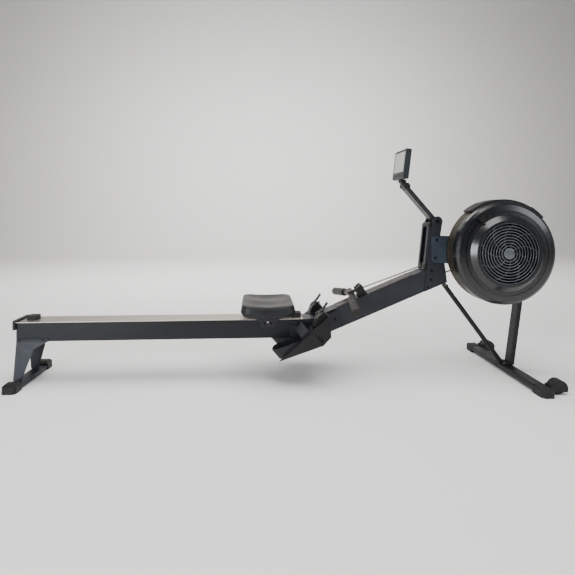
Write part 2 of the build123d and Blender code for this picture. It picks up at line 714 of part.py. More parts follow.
nodes["saddle_pad"] = saddle()
base_outline = Pos(seat_middle, 0, seat_low) * RectangleRounded(seat_length - 24, seat_width - 24, 40)
nodes["saddle_base"] = extrude(base_outline, amount=base_height, taper=-30)

deck_half = 80
truss_low = rail_top_z - 34
truss_front = [(deck_half, seat_low), (deck_half, seat_low - 16), (48, rail_top_z - 2), (28, truss_low)]
truss = truss_front + [(-x, z) for x, z in reversed(truss_front)]
axle_spread = 60
top_axles = (seat_x - axle_spread, seat_x + axle_spread)
guide_z = beam_top - guide_roller_radius - fit_gap


def carriage():
    outline = [(seat_x + x, z) for x, z in truss]
    plate = prism(level, outline, -carriage_side - carriage_plate, -carriage_side)
    for lean in (-1, 1):
        window = [(seat_x + lean * 14 - 5, truss_low + 20), (seat_x + lean * 14 + 5, truss_low + 20),
                  (seat_x + lean * 17, truss_low + 8)]
        plate -= prism(level, window, -carriage_side - 5, -carriage_side + 1)
    for x in top_axles:
        plate -= rod(x, axle_z, roller_axle_radius, -carriage_side - 5, -carriage_side + 1)
    plate -= rod(seat_x, guide_z, roller_axle_radius, -carriage_side - 5, -carriage_side + 1)
    deck_low = axle_z + top_roller_radius + 2
    deck = block(seat_x - deck_half, seat_x + deck_half, -carriage_side, carriage_side, deck_low, seat_low)
    return plate + deck + mirrored(plate)


nodes["seat_carriage"] = carriage()
outside_y = carriage_side + carriage_plate
axles = [rod(x, axle_z, roller_axle_radius, -outside_y, outside_y) for x in top_axles]
guide_pin = rod(seat_x, guide_z, roller_axle_radius, -outside_y, -carriage_side + 9)
nodes["seat_axles"] = axles + [guide_pin, mirrored(guide_pin)]


def roller(x, z, radius, y0, y1):
    body = tube(x, z, radius, roller_axle_radius + running_gap, y0, y1)
    return [body, mirrored(body)]


for name, x in zip(("rollers_rear", "rollers_front"), top_axles):
    nodes[name] = roller(x, axle_z, top_roller_radius, -track_side + 6, -track_side + 26)
nodes["guide_rollers"] = roller(seat_x, guide_z, guide_roller_radius, -carriage_side + 1, -carriage_side + 8)

# Handle ---------------------------------------------------------------------------------------
handle_along = 216
chain_up = half_height + chain_lift
handle_x, handle_z = place(boom, handle_along, chain_up)
drop_x, drop_z = 25, 39               # how far the ends sit behind and below the middle


def handle_point(share, side):
    return handle_x - drop_x * share, side * handle_half_span * share, handle_z - drop_z * share


core = bar_between(handle_point(0, 1), handle_point(0.93, 1), handle_core_radius)
core += mirrored(core) + Pos(handle_x, 0, handle_z) * Sphere(handle_core_radius)
nodes["handle_bar"] = core


def grip(side):
    start, end = handle_point(0.3, side), handle_point(1, side)
    body = bar_between(start, end, handle_grip_radius)
    body = fillet(body.edges().filter_by(GeomType.CIRCLE), 7)
    return body - core


nodes["handle_grips"] = [grip(-1), grip(1)]
yoke_front = rest_start - 1.5
yoke_half = 15
yoke = slab(boom, handle_along - yoke_half + 1, handle_along + yoke_half + 1, chain_up - yoke_half,
            chain_up + yoke_half, -2 * yoke_half, 2 * yoke_half)
yoke = fillet(yoke.edges(), 5) - core
eye = slab(boom, handle_along + yoke_half, yoke_front, chain_up - 6, chain_up + 6, -5, 5)
nodes["handle_yoke"] = yoke + eye

# Chain ----------------------------------------------------------------------------------------
link_half_height, link_half_width = 3.5, 2.5


def chain_run(start, end):
    length = hypot(end[0] - start[0], end[1] - start[1])
    angle = degrees(atan2(end[1] - start[1], end[0] - start[0]))
    return slab(side_plane(start[0], start[1], angle), 0, length, -link_half_height, link_half_height,
                -link_half_width, link_half_width)


guide_point = place(post, 4, 124)
wrap_radius = chain_radius + tooth_rise + 2 * fit_gap + link_half_height
wrap_start = axle_x - 3
chain_start = place(boom, yoke_front + fit_gap, chain_up)
wrap = tube(axle_x, axle_height, wrap_radius + link_half_height, wrap_radius - link_half_height, -link_half_width,
            link_half_width)
wrap &= block(wrap_start, axle_x + 60, -10, 10, 0, 2 * axle_height)
boom_mouth = place(boom, boom_length - 60, 0)
chain = chain_run(chain_start, guide_point) + wrap
chain += chain_run(guide_point, (wrap_start, axle_height + wrap_radius))
chain += chain_run(boom_mouth, (wrap_start, axle_height - wrap_radius))
nodes["chain"] = chain

# Monitor ----------------------------------------------------------------------------------------
arm = side_plane(pivot_x, pivot_z, 180 - arm_rise)
tilt_x, tilt_z = place(arm, arm_length, 0)
arm_half = arm_width / 2
tilt_pin_radius = 4


def monitor_arm():
    # a folded channel, open on the side that faces away from the rower
    body = slab(arm, 14, arm_length - 12, -arm_depth / 2, arm_depth / 2, -arm_half, arm_half)
    body -= slab(arm, 13, arm_length - 11, -arm_depth / 2 - 1, arm_depth / 2 - arm_wall, -arm_half + arm_wall,
                 arm_half - arm_wall)
    for side in (-1, 1):
        y0, y1 = sorted((side * arm_half, side * (arm_half - arm_wall)))
        body += rod(pivot_x, pivot_z, 15, y0, y1) + rod(tilt_x, tilt_z, 13, y0, y1)
        body += slab(arm, 0, 16, -arm_depth / 2, arm_depth / 2, y0, y1)
        body += slab(arm, arm_length - 16, arm_length, -arm_depth / 2, arm_depth / 2, y0, y1)
    body -= rod(pivot_x, pivot_z, arm_pin_radius + running_gap, -arm_half - 1, arm_half + 1)
    return body - rod(tilt_x, tilt_z, tilt_pin_radius + running_gap, -arm_half - 1, arm_half + 1)


nodes["monitor_arm"] = monitor_arm()
pin = rod(pivot_x, pivot_z, arm_pin_radius, -post_side - 2, post_side + 2)
pin_head = rod(pivot_x, pivot_z, 9, -post_side - 5, -post_side)
pin += pin_head + mirrored(pin_head)
collar = rod(pivot_x, pivot_z, 11, -boom_side, -arm_half - fit_gap)
nodes["arm_pivot_bolt"] = pin + collar + mirrored(collar)

case_rise = 100                       # from the tilt pin to the middle of the case
case = side_plane(tilt_x, tilt_z, -monitor_tilt)     # local x points away from the rower, y up the case
case_low = case_rise - monitor_height / 2
case_high = case_rise + monitor_height / 2
case_front = -monitor_depth - 10
case_back = -10
monitor_half = monitor_width / 2
window_low, window_high, window_half = case_low + 32, case_high - 12, monitor_half - 12


def monitor_case():
    shape = slab(case, case_front, case_back, case_low, case_high, -monitor_half, monitor_half)
    shape = fillet(shape.edges(), 5)
    hump = slab(case, case_back - 2, case_back + 7, case_high - 62, case_high - 16, -40, 40)
    window = slab(case, case_front - 1, case_front + 2, window_low, window_high, -window_half, window_half)
    shape = shape + hump - window
    for y in button_places:
        x, z = place(case, case_front, button_up)
        pocket = Plane(origin=(x, y, z), z_dir=case.x_dir) * Cylinder(button_radius + fit_gap, 12)
        shape -= pocket
    return shape


button_up = case_low + 16
button_spacing = 26
button_places = [-button_spacing, 0, button_spacing]
nodes["monitor_case"] = monitor_case()
nodes["monitor_screen"] = slab(case, case_front + 0.5, case_front + 2, window_low, window_high, -window_half,
                               window_half)
for index, y in enumerate(button_places, 1):
    x, z = place(case, case_front - 1.6, button_up)
    cap = Plane(origin=(x, y, z), z_dir=case.x_dir) * Cylinder(button_radius, 5.5, align=from_end)
    nodes[f"monitor_button_{index}"] = cap

tongue_half = arm_half - arm_wall - fit_gap
bracket = slab(case, -24, 0, case_low - 16, case_low, -20, 20)
bracket += rod(tilt_x, tilt_z, 11, -tongue_half, tongue_half)
bracket += slab(case, -14, 9, 0, case_low - 12, -20, 20)
nodes["monitor_bracket"] = bracket - rod(tilt_x, tilt_z, tilt_pin_radius + running_gap, -arm_half, arm_half)
knob_y = -arm_half - fit_gap
tilt_pin = rod(tilt_x, tilt_z, tilt_pin_radius, knob_y - 4, arm_half + 4)
knob = rod(tilt_x, tilt_z, 16, knob_y - 16, knob_y)
for index in range(8):
    across, up = turned(index * 45)
    knob -= rod(tilt_x + 18 * across, tilt_z + 18 * up, 4.5, knob_y - 20, knob_y + 1)
nodes["monitor_knob"] = knob + tilt_pin

# Bolt holes -------------------------------------------------------------------------------------
def drilled(shape):
    for fastener in frame_bolts:
        shape = shape - fastener
    return shape


bolted = ["rail_beam", "boom_beam", "joint_cheeks", "tail_leg_plates", "post_plates", "drum_plates", "chain_guide"]
for name in bolted:
    pieces = nodes[name] if isinstance(nodes[name], list) else [nodes[name]]
    nodes[name] = [drilled(piece) for piece in pieces]

# Write the pieces -------------------------------------------------------------------------------
os.makedirs("parts", exist_ok=True)
for name, shape in nodes.items():
    piece = Compound(children=list(shape)) if isinstance(shape, list) else shape
    export_step(piece, f"parts/{name}.step")
print(len(nodes), "nodes")
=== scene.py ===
import bpy
import bmesh
import json
import math
from mathutils import Matrix, Vector
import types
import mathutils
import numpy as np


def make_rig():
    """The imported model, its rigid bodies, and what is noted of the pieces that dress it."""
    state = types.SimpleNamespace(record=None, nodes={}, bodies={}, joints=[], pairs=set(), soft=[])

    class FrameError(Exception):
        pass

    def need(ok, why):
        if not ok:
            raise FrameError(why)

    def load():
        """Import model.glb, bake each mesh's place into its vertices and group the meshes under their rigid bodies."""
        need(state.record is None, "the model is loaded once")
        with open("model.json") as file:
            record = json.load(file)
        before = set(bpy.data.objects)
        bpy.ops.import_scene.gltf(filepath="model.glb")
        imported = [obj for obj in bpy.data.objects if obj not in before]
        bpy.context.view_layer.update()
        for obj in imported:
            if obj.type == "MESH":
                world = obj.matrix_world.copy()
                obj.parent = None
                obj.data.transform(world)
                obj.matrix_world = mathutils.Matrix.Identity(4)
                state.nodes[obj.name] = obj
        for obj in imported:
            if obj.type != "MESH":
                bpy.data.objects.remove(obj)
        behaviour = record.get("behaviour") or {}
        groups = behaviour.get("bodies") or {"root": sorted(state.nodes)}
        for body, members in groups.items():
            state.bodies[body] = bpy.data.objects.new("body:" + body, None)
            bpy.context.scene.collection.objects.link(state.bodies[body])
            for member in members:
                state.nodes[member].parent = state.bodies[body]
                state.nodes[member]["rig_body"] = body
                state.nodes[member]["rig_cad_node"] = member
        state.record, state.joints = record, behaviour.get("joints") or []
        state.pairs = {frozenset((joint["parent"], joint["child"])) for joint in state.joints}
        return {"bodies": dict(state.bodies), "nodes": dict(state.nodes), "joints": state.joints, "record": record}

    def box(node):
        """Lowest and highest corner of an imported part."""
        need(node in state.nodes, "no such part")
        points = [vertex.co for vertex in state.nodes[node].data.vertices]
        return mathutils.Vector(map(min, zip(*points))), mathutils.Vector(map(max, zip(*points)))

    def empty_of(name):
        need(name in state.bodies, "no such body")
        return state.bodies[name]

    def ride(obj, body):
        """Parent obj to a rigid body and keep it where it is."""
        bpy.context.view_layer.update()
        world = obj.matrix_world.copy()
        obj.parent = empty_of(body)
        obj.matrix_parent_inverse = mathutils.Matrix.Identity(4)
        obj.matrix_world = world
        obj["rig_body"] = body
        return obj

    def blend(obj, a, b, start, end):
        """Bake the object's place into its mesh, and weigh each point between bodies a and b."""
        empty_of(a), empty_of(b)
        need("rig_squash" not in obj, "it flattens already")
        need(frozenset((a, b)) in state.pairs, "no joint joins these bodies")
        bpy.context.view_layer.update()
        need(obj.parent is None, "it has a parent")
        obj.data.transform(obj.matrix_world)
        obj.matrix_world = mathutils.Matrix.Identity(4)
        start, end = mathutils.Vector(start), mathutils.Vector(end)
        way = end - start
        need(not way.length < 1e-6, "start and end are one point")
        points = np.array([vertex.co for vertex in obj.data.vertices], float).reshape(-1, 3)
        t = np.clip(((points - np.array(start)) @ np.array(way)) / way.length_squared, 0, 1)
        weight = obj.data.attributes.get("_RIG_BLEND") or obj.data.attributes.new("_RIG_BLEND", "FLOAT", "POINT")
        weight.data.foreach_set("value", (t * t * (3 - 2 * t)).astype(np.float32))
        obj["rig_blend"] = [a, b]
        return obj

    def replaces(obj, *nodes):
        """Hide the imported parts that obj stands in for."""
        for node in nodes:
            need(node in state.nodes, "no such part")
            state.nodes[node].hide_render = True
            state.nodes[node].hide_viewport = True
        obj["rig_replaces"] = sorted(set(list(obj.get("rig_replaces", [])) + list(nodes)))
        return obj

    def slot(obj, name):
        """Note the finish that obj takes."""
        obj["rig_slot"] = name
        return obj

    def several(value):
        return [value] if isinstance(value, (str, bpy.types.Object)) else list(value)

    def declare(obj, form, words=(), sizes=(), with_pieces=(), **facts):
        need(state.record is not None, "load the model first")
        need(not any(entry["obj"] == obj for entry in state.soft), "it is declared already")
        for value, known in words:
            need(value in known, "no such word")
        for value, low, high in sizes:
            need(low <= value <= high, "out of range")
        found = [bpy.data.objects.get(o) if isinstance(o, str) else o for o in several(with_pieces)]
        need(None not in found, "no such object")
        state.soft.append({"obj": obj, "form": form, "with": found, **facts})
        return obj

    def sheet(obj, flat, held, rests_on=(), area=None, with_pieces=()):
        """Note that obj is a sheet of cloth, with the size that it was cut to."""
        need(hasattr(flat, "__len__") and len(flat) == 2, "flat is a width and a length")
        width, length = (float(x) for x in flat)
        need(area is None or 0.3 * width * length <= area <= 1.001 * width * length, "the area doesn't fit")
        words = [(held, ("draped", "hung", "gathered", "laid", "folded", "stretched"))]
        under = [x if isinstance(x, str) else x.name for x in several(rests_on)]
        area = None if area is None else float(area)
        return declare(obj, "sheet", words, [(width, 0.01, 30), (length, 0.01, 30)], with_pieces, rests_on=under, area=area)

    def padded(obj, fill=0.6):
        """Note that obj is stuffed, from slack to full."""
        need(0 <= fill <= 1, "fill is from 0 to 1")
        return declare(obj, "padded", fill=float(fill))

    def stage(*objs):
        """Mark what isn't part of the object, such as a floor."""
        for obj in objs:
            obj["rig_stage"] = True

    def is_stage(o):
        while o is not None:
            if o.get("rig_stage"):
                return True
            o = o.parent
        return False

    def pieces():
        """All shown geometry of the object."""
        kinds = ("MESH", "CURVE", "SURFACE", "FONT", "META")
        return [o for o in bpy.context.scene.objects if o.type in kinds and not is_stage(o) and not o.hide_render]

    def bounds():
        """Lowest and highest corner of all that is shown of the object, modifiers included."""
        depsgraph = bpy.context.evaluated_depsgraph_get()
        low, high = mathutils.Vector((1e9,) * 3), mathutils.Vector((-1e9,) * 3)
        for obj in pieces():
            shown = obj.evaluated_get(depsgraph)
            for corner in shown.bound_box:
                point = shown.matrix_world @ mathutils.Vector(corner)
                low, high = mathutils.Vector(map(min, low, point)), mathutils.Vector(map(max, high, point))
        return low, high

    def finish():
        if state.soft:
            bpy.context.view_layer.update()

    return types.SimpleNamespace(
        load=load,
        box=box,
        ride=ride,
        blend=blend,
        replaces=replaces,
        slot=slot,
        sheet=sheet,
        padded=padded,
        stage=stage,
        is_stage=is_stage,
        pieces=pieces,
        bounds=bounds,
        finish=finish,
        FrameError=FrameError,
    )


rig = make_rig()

# Rowing machine: the measured frame carries the hard pieces, and this script adds their finishes,
# the moulded seat, the webbing, the drive chain, the perforated rim and the face grille.
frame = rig.load()
nodes = frame["nodes"]
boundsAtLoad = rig.bounds()
mm = 0.001


def say(text):
    print("scene:", text)


# Colours and materials ------------------------------------------------------------------------
def srgb(text):
    parts = [int(text[i:i + 2], 16) / 255 for i in (1, 3, 5)]
    return tuple(c / 12.92 if c <= 0.04045 else ((c + 0.055) / 1.055) ** 2.4 for c in parts) + (1.0,)


def add(tree, kind, links=None, values=None, **settings):
    # one shader or geometry node, with its settings, its values and its incoming links
    made = tree.nodes.new(kind)
    for key, value in settings.items():
        setattr(made, key, value)
    for key, value in (values or {}).items():
        made.inputs[key].default_value = value
    for key, source in (links or {}).items():
        tree.links.new(source, made.inputs[key])
    return made


def newMaterial(name):
    material = bpy.data.materials.new(name)
    material.use_nodes = True
    tree = material.node_tree
    tree.nodes.clear()
    output = tree.nodes.new("ShaderNodeOutputMaterial")
    surface = tree.nodes.new("ShaderNodeBsdfPrincipled")
    tree.links.new(surface.outputs["BSDF"], output.inputs["Surface"])
    return material, tree, surface


def place(tree, stretch=(1, 1, 1)):
    # object coordinates, in metres, stretched per axis
    spot = add(tree, "ShaderNodeTexCoord")
    stretched = add(tree, "ShaderNodeMapping", {"Vector": spot.outputs["Object"]}, {"Scale": stretch})
    return stretched.outputs["Vector"]


def mixed(tree, factor, low, high):
    made = add(tree, "ShaderNodeMix", {"Factor": factor}, data_type="RGBA")
    for socket, value in (("A", low), ("B", high)):
        found = [i for i in made.inputs if i.name == socket and i.type == "RGBA"][0]
        found.default_value = value
    return [o for o in made.outputs if o.type == "RGBA"][0]


def spread(tree, source, low, high, fromLow=0.3, fromHigh=0.7):
    return add(tree, "ShaderNodeMapRange", {"Value": source},
               {"From Min": fromLow, "From Max": fromHigh, "To Min": low, "To Max": high}).outputs["Result"]


def coated(name, dark, light, rough, grain, depth, stretch=(1, 1, 1), cloud=9, metal=0.0, coat=0.0):
    # a paint or a moulded plastic: a slow change of shade, uneven gloss and a fine grain
    # grain is its size in mm, depth the bump's height in mm
    material, tree, surface = newMaterial(name)
    where = place(tree, stretch)
    slow = add(tree, "ShaderNodeTexNoise", {"Vector": where}, {"Scale": cloud, "Detail": 5, "Roughness": 0.6})
    fine = add(tree, "ShaderNodeTexNoise", {"Vector": where}, {"Scale": 1 / (grain * mm), "Detail": 3})
    smudge = add(tree, "ShaderNodeTexNoise", {"Vector": where},
                 {"Scale": cloud * 4, "Detail": 7, "Distortion": 0.6})
    shade = mixed(tree, spread(tree, slow.outputs["Fac"], 0, 1), srgb(dark), srgb(light))
    tree.links.new(shade, surface.inputs["Base Color"])
    tree.links.new(spread(tree, smudge.outputs["Fac"], rough[0], rough[1]), surface.inputs["Roughness"])
    bump = add(tree, "ShaderNodeBump", {"Height": fine.outputs["Fac"]},
               {"Strength": 0.6, "Distance": depth * mm})
    tree.links.new(bump.outputs["Normal"], surface.inputs["Normal"])
    surface.inputs["Metallic"].default_value = metal
    surface.inputs["Specular IOR Level"].default_value = 0.5 if metal or coat else 0.3
    surface.inputs["Coat Weight"].default_value = coat
    surface.inputs["Coat Roughness"].default_value = 0.12
    return material


def brushed(name, dark, light, rough, stretch, cloud=6):
    # bare steel with a drawn grain: the noise is drawn out along the brushing
    return coated(name, dark, light, rough, 0.9, 0.012, stretch, cloud, metal=1.0)


finishes = {
    # satin powder coat on the extruded rail
    "rail_paint": coated("railPaint", "#0b0d11", "#11141a", (0.34, 0.46), 0.5, 0.02, (0.25, 1, 1)),
    # brushed stainless track under the seat rollers
    "track_steel": brushed("trackSteel", "#a39c92", "#cfc9c0", (0.28, 0.44), (0.04, 1, 1)),
    # spark-eroded black plastic of the mouldings
    "black_plastic": coated("blackPlastic", "#0d0c0c", "#181615", (0.42, 0.6), 0.8, 0.06),
    "rubber": coated("stopRubber", "#1f1e1d", "#2d2b29", (0.6, 0.78), 1.2, 0.08),
    "tail_paint": coated("tailPaint", "#1a1d23", "#22262e", (0.36, 0.5), 0.6, 0.03),
    "bolt_steel": coated("boltSteel", "#1b1b1f", "#2b2b2f", (0.25, 0.4), 0.7, 0.02, metal=0.85),
    # charcoal powder coat with a light orange peel
    "boom_paint": coated("boomPaint", "#191b20", "#24262c", (0.36, 0.5), 0.9, 0.04),
    "strip_plastic": coated("stripPlastic", "#292421", "#37322c", (0.34, 0.5), 0.8, 0.04, (0.3, 1, 1)),
    "plate_paint": coated("platePaint", "#262c34", "#323a44", (0.36, 0.5), 0.6, 0.03),
    "axle_steel": brushed("axleSteel", "#8d8c8a", "#b5b4b1", (0.22, 0.34), (1, 0.2, 1)),
    # glossy moulded housing, bluish black, with a clear polish
    "cover_plastic": coated("coverPlastic", "#050608", "#090a0d", (0.24, 0.3), 1.5, 0.02, cloud=4, coat=0.3),
    # light-grey coated wires of the face guard
    "grille_wire": coated("grilleWire", "#3a3e42", "#565b60", (0.22, 0.36), 0.8, 0.02, coat=0.4),
    "rim_mesh": coated("rimMesh", "#3b382f", "#565044", (0.35, 0.5), 0.7, 0.03, metal=0.6),
    "fan_plastic": coated("fanPlastic", "#060607", "#0d0d0e", (0.5, 0.66), 1.1, 0.05),
    "stand_paint": coated("standPaint", "#08090a", "#0e0f11", (0.34, 0.46), 0.6, 0.03),
    "caster_rubber": coated("casterRubber", "#111111", "#1c1c1c", (0.6, 0.75), 1.4, 0.07),
    "flex_plastic": coated("flexPlastic", "#151619", "#202125", (0.4, 0.56), 0.8, 0.06),
    "handle_steel": coated("handleSteel", "#1c1c1f", "#2a2a2e", (0.28, 0.42), 0.7, 0.02, metal=0.85),
    "grip_rubber": coated("gripRubber", "#171514", "#211e1d", (0.46, 0.62), 1.0, 0.14),
    "yoke_plastic": coated("yokePlastic", "#211e1b", "#2e2a26", (0.42, 0.56), 0.8, 0.06),
    "seat_shell": coated("seatShell", "#141518", "#1d1e21", (0.42, 0.58), 1.0, 0.07),
    "carriage_paint": coated("carriagePaint", "#18181b", "#232427", (0.34, 0.48), 0.6, 0.03),
    "roller_plastic": coated("rollerPlastic", "#212122", "#2d2d2f", (0.3, 0.45), 0.9, 0.03),
    "arm_paint": coated("armPaint", "#1d1e21", "#292b2f", (0.36, 0.5), 0.6, 0.03),
    "case_plastic": coated("casePlastic", "#1d1f23", "#282b30", (0.4, 0.55), 0.7, 0.05),
}


def screenMaterial():
    # a grey-green liquid-crystal panel behind a clear, glossy sheet; its cells are just visible
    material, tree, surface = newMaterial("screenGlass")
    cells = add(tree, "ShaderNodeTexBrick", {"Vector": place(tree, (1, 60, 60))},
                {"Scale": 1.0, "Mortar Size": 0.05, "Color1": srgb("#6f716a"), "Color2": srgb("#777970"),
                 "Mortar": srgb("#84867c")})
    cloud = add(tree, "ShaderNodeTexNoise", {"Vector": place(tree)}, {"Scale": 14, "Detail": 3})
    tree.links.new(cells.outputs["Color"], surface.inputs["Base Color"])
    tree.links.new(spread(tree, cloud.outputs["Fac"], 0.06, 0.14), surface.inputs["Roughness"])
    surface.inputs["Coat Weight"].default_value = 0.8
    return material


def skinMaterial():
    # integral-skin foam: a pebbled brown-black top that turns into a grey side band
    material, tree, surface = newMaterial("seatSkin")
    where = place(tree)
    pebbles = add(tree, "ShaderNodeTexVoronoi", {"Vector": where}, {"Scale": 1 / (1.6 * mm)})
    slow = add(tree, "ShaderNodeTexNoise", {"Vector": where}, {"Scale": 11, "Detail": 6, "Distortion": 0.8})
    height = add(tree, "ShaderNodeSeparateXYZ", {"Vector": where})
    top = mixed(tree, spread(tree, slow.outputs["Fac"], 0, 1), srgb("#120f0e"), srgb("#1b1816"))
    side = mixed(tree, spread(tree, slow.outputs["Fac"], 0, 1), srgb("#131416"), srgb("#1c1d1f"))
    band = add(tree, "ShaderNodeMix", data_type="RGBA")
    colors = [i for i in band.inputs if i.type == "RGBA"]
    tree.links.new(side, colors[0])
    tree.links.new(top, colors[1])
    blurred = 0.8 * mm
    tree.links.new(spread(tree, height.outputs["Z"], 0, 1, seam["z"] - blurred, seam["z"] + blurred),
                   band.inputs["Factor"])
    tree.links.new([o for o in band.outputs if o.type == "RGBA"][0], surface.inputs["Base Color"])
    tree.links.new(spread(tree, slow.outputs["Fac"], 0.38, 0.52), surface.inputs["Roughness"])
    surface.inputs["Specular IOR Level"].default_value = 0.35
    bump = add(tree, "ShaderNodeBump", {"Height": pebbles.outputs["Distance"]},
               {"Strength": 0.45, "Distance": 0.12 * mm})
    tree.links.new(bump.outputs["Normal"], surface.inputs["Normal"])
    return material


def webbingMaterial():
    # plain-weave nylon webbing: the piece's own map runs along and across the strap, in metres
    material, tree, surface = newMaterial("webbing")
    spot = add(tree, "ShaderNodeUVMap", uv_map="strap")
    along = add(tree, "ShaderNodeTexWave", {"Vector": spot.outputs["UV"]}, {"Scale": 160, "Distortion": 0.4},
                bands_direction="X")
    across = add(tree, "ShaderNodeTexWave", {"Vector": spot.outputs["UV"]}, {"Scale": 110, "Distortion": 0.4},
                 bands_direction="Y")
    weave = add(tree, "ShaderNodeMath", {0: along.outputs["Fac"], 1: across.outputs["Fac"]},
                operation="MULTIPLY")
    shade = mixed(tree, weave.outputs["Value"], srgb("#0a0a0c"), srgb("#1b1b1d"))
    tree.links.new(shade, surface.inputs["Base Color"])
    bump = add(tree, "ShaderNodeBump", {"Height": weave.outputs["Value"]},
               {"Strength": 0.8, "Distance": 0.3 * mm})
    tree.links.new(bump.outputs["Normal"], surface.inputs["Normal"])
    tree.links.new(spread(tree, weave.outputs["Value"], 0.85, 0.65, 0, 1), surface.inputs["Roughness"])
    return material


finishes["screen_glass"] = screenMaterial()
finishes["webbing"] = webbingMaterial()
finishes["chain_steel"] = brushed("chainSteel", "#8f8d88", "#c9c6bf", (0.25, 0.4), (1, 1, 1), cloud=30)
slotOf = {part["node"]: part["material_slot"] for part in frame["record"]["subparts"]}


def paint(obj, material):
    obj.data.materials.clear()
    obj.data.materials.append(material)


for name, obj in nodes.items():
    slotName = slotOf[name]
    if slotName in finishes:
        paint(obj, finishes[slotName])
say("finishes on the measured pieces")


# Mesh helpers ---------------------------------------------------------------------------------
def meshObject(name, points, faces, material, smooth=True):
    mesh = bpy.data.meshes.new(name)
    mesh.from_pydata([tuple(p) for p in points], [], faces)
    shell = bmesh.new()
    shell.from_mesh(mesh)
    bmesh.ops.remove_doubles(shell, verts=shell.verts, dist=1e-6)
    bmesh.ops.recalc_face_normals(shell, faces=shell.faces)
    shell.to_mesh(mesh)
    shell.free()
    mesh.polygons.foreach_set("use_smooth", [smooth] * len(mesh.polygons))
    obj = bpy.data.objects.new(name, mesh)
    bpy.context.collection.objects.link(obj)
    paint(obj, material)
    return obj


def finished(obj, levels):
    # subdivides and turns the result into the piece's own mesh
    obj.modifiers.new("round", "SUBSURF").levels = levels
    obj.modifiers["round"].render_levels = levels
    bpy.context.view_layer.update()
    graph = bpy.context.evaluated_depsgraph_get()
    mesh = bpy.data.meshes.new_from_object(obj.evaluated_get(graph))
    obj.modifiers.clear()
    obj.data = mesh
    return obj


# Seat -----------------------------------------------------------------------------------------
# corner radius, the two hollows and the rises of the rim; the seam's depth under the top; points round a ring
seat = {"corner": 0.046, "hollow": 0.007, "rearRise": 0.006, "frontRise": 0.002, "sideRise": 0.003,
        "saddle": 0.003, "seamDrop": 0.01, "round": 112}
padLow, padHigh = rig.box("saddle_pad")
seam = {"z": padHigh.z - seat["seamDrop"]}


def roundedPoint(turn, halfX, halfY, corner):
    # a point on a rounded rectangle; turn goes once round from 0 to 1
    straightX, straightY = halfX - corner, halfY - corner
    arc = math.pi / 2 * corner
    lengths = [2 * straightY, arc, 2 * straightX, arc, 2 * straightY, arc, 2 * straightX, arc]
    left = turn * sum(lengths)
    centres = [(straightX, -straightY), (straightX, straightY),
               (-straightX, straightY), (-straightX, -straightY)]
    for side in range(4):
        angle = side * math.pi / 2
        out = Vector((math.cos(angle), math.sin(angle)))
        along = Vector((-out.y, out.x))
        start = Vector(centres[side])
        if left <= lengths[2 * side]:
            return start + out * corner + along * left
        left -= lengths[2 * side]
        if left <= arc:
            bend = angle + left / corner
            return Vector(centres[(side + 1) % 4]) + Vector((math.cos(bend), math.sin(bend))) * corner
        left -= arc
    return Vector(centres[0]) + Vector((corner, 0))


def saddleHeight(x, y):
    # x and y run from -1 to 1 over the seat; the rear rim stands highest
    edge = seat["rearRise"] * max(0.0, -x) ** 3 + seat["frontRise"] * max(0.0, x) ** 3
    edge += seat["sideRise"] * abs(y) ** 4
    hollows = sum(math.exp(-((x + 0.12) / 0.55) ** 2 - ((y - side * 0.42) / 0.36) ** 2) for side in (-1, 1))
    return edge - seat["hollow"] * hollows - seat["saddle"] * math.exp(-(x / 0.7) ** 2)


def makeSeat():
    halfX, halfY = (padHigh.x - padLow.x) / 2, (padHigh.y - padLow.y) / 2
    middle = (padLow + padHigh) / 2
    count = seat["round"]
    crown = padHigh.z - 0.004
    # (inset from the outline, height, share of the top's shape)
    rings = [(0.006, padLow.z, 0), (0.001, padLow.z + 0.001, 0), (0.0, padLow.z + 0.004, 0),
             (0.0035, seam["z"] - 0.008, 0.2), (0.0055, seam["z"] - 0.0012, 0.7),
             (0.0075, seam["z"] - 0.0004, 0.75), (0.0075, seam["z"] + 0.0004, 0.8),
             (0.0058, seam["z"] + 0.0014, 0.85), (0.0075, seam["z"] + 0.005, 0.95),
             (0.012, crown - 0.0005, 1), (0.02, crown + 0.0012, 1)]
    rings += [(0.02 + (min(halfX, halfY) - 0.024) * step / 14, crown + 0.0015, 1) for step in range(1, 15)]
    points = []
    for inset, z, share in rings:
        corner = max(seat["corner"] - inset * 0.5, 0.004)
        for index in range(count):
            hx, hy = halfX - inset, halfY - inset
            corner = min(corner, hx * 0.98, hy * 0.98)
            spot = roundedPoint(index / count, hx, hy, corner)
            rise = saddleHeight(spot.x / halfX, spot.y / halfY) * share
            points.append((middle.x + spot.x, middle.y + spot.y, z + rise))
    faces = []
    for ring in range(len(rings) - 1):
        for index in range(count):
            following = (index + 1) % count
            low, high = ring * count, (ring + 1) * count
            faces.append((low + index, low + following, high + following, high + index))
    faces.append(tuple(range(count))[::-1])
    last = (len(rings) - 1) * count
    points.append((middle.x, middle.y, crown + 0.0015 + saddleHeight(0, 0)))
    for index in range(count):
        faces.append((last + index, last + (index + 1) % count, len(points) - 1))
    return finished(meshObject("seatPad", points, faces, skinMaterial()), 1)


pad = makeSeat()
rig.replaces(pad, "saddle_pad")
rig.slot(pad, "seat_skin")
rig.padded(pad, fill=0.9)
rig.ride(pad, "seat")
say("seat")

# Footrest straps --------------------------------------------------------------------------------
strap = {"width": 0.044, "thickness": 0.0022, "slope": 41.3, "anchor": 0.117, "start": 0.136}
slopeX, slopeZ = math.cos(math.radians(strap["slope"])), math.sin(math.radians(strap["slope"]))


def footPoint(anchor, along, up, y):
    return Vector((anchor.x + along * slopeX - up * slopeZ, y, anchor.z + along * slopeZ + up * slopeX))


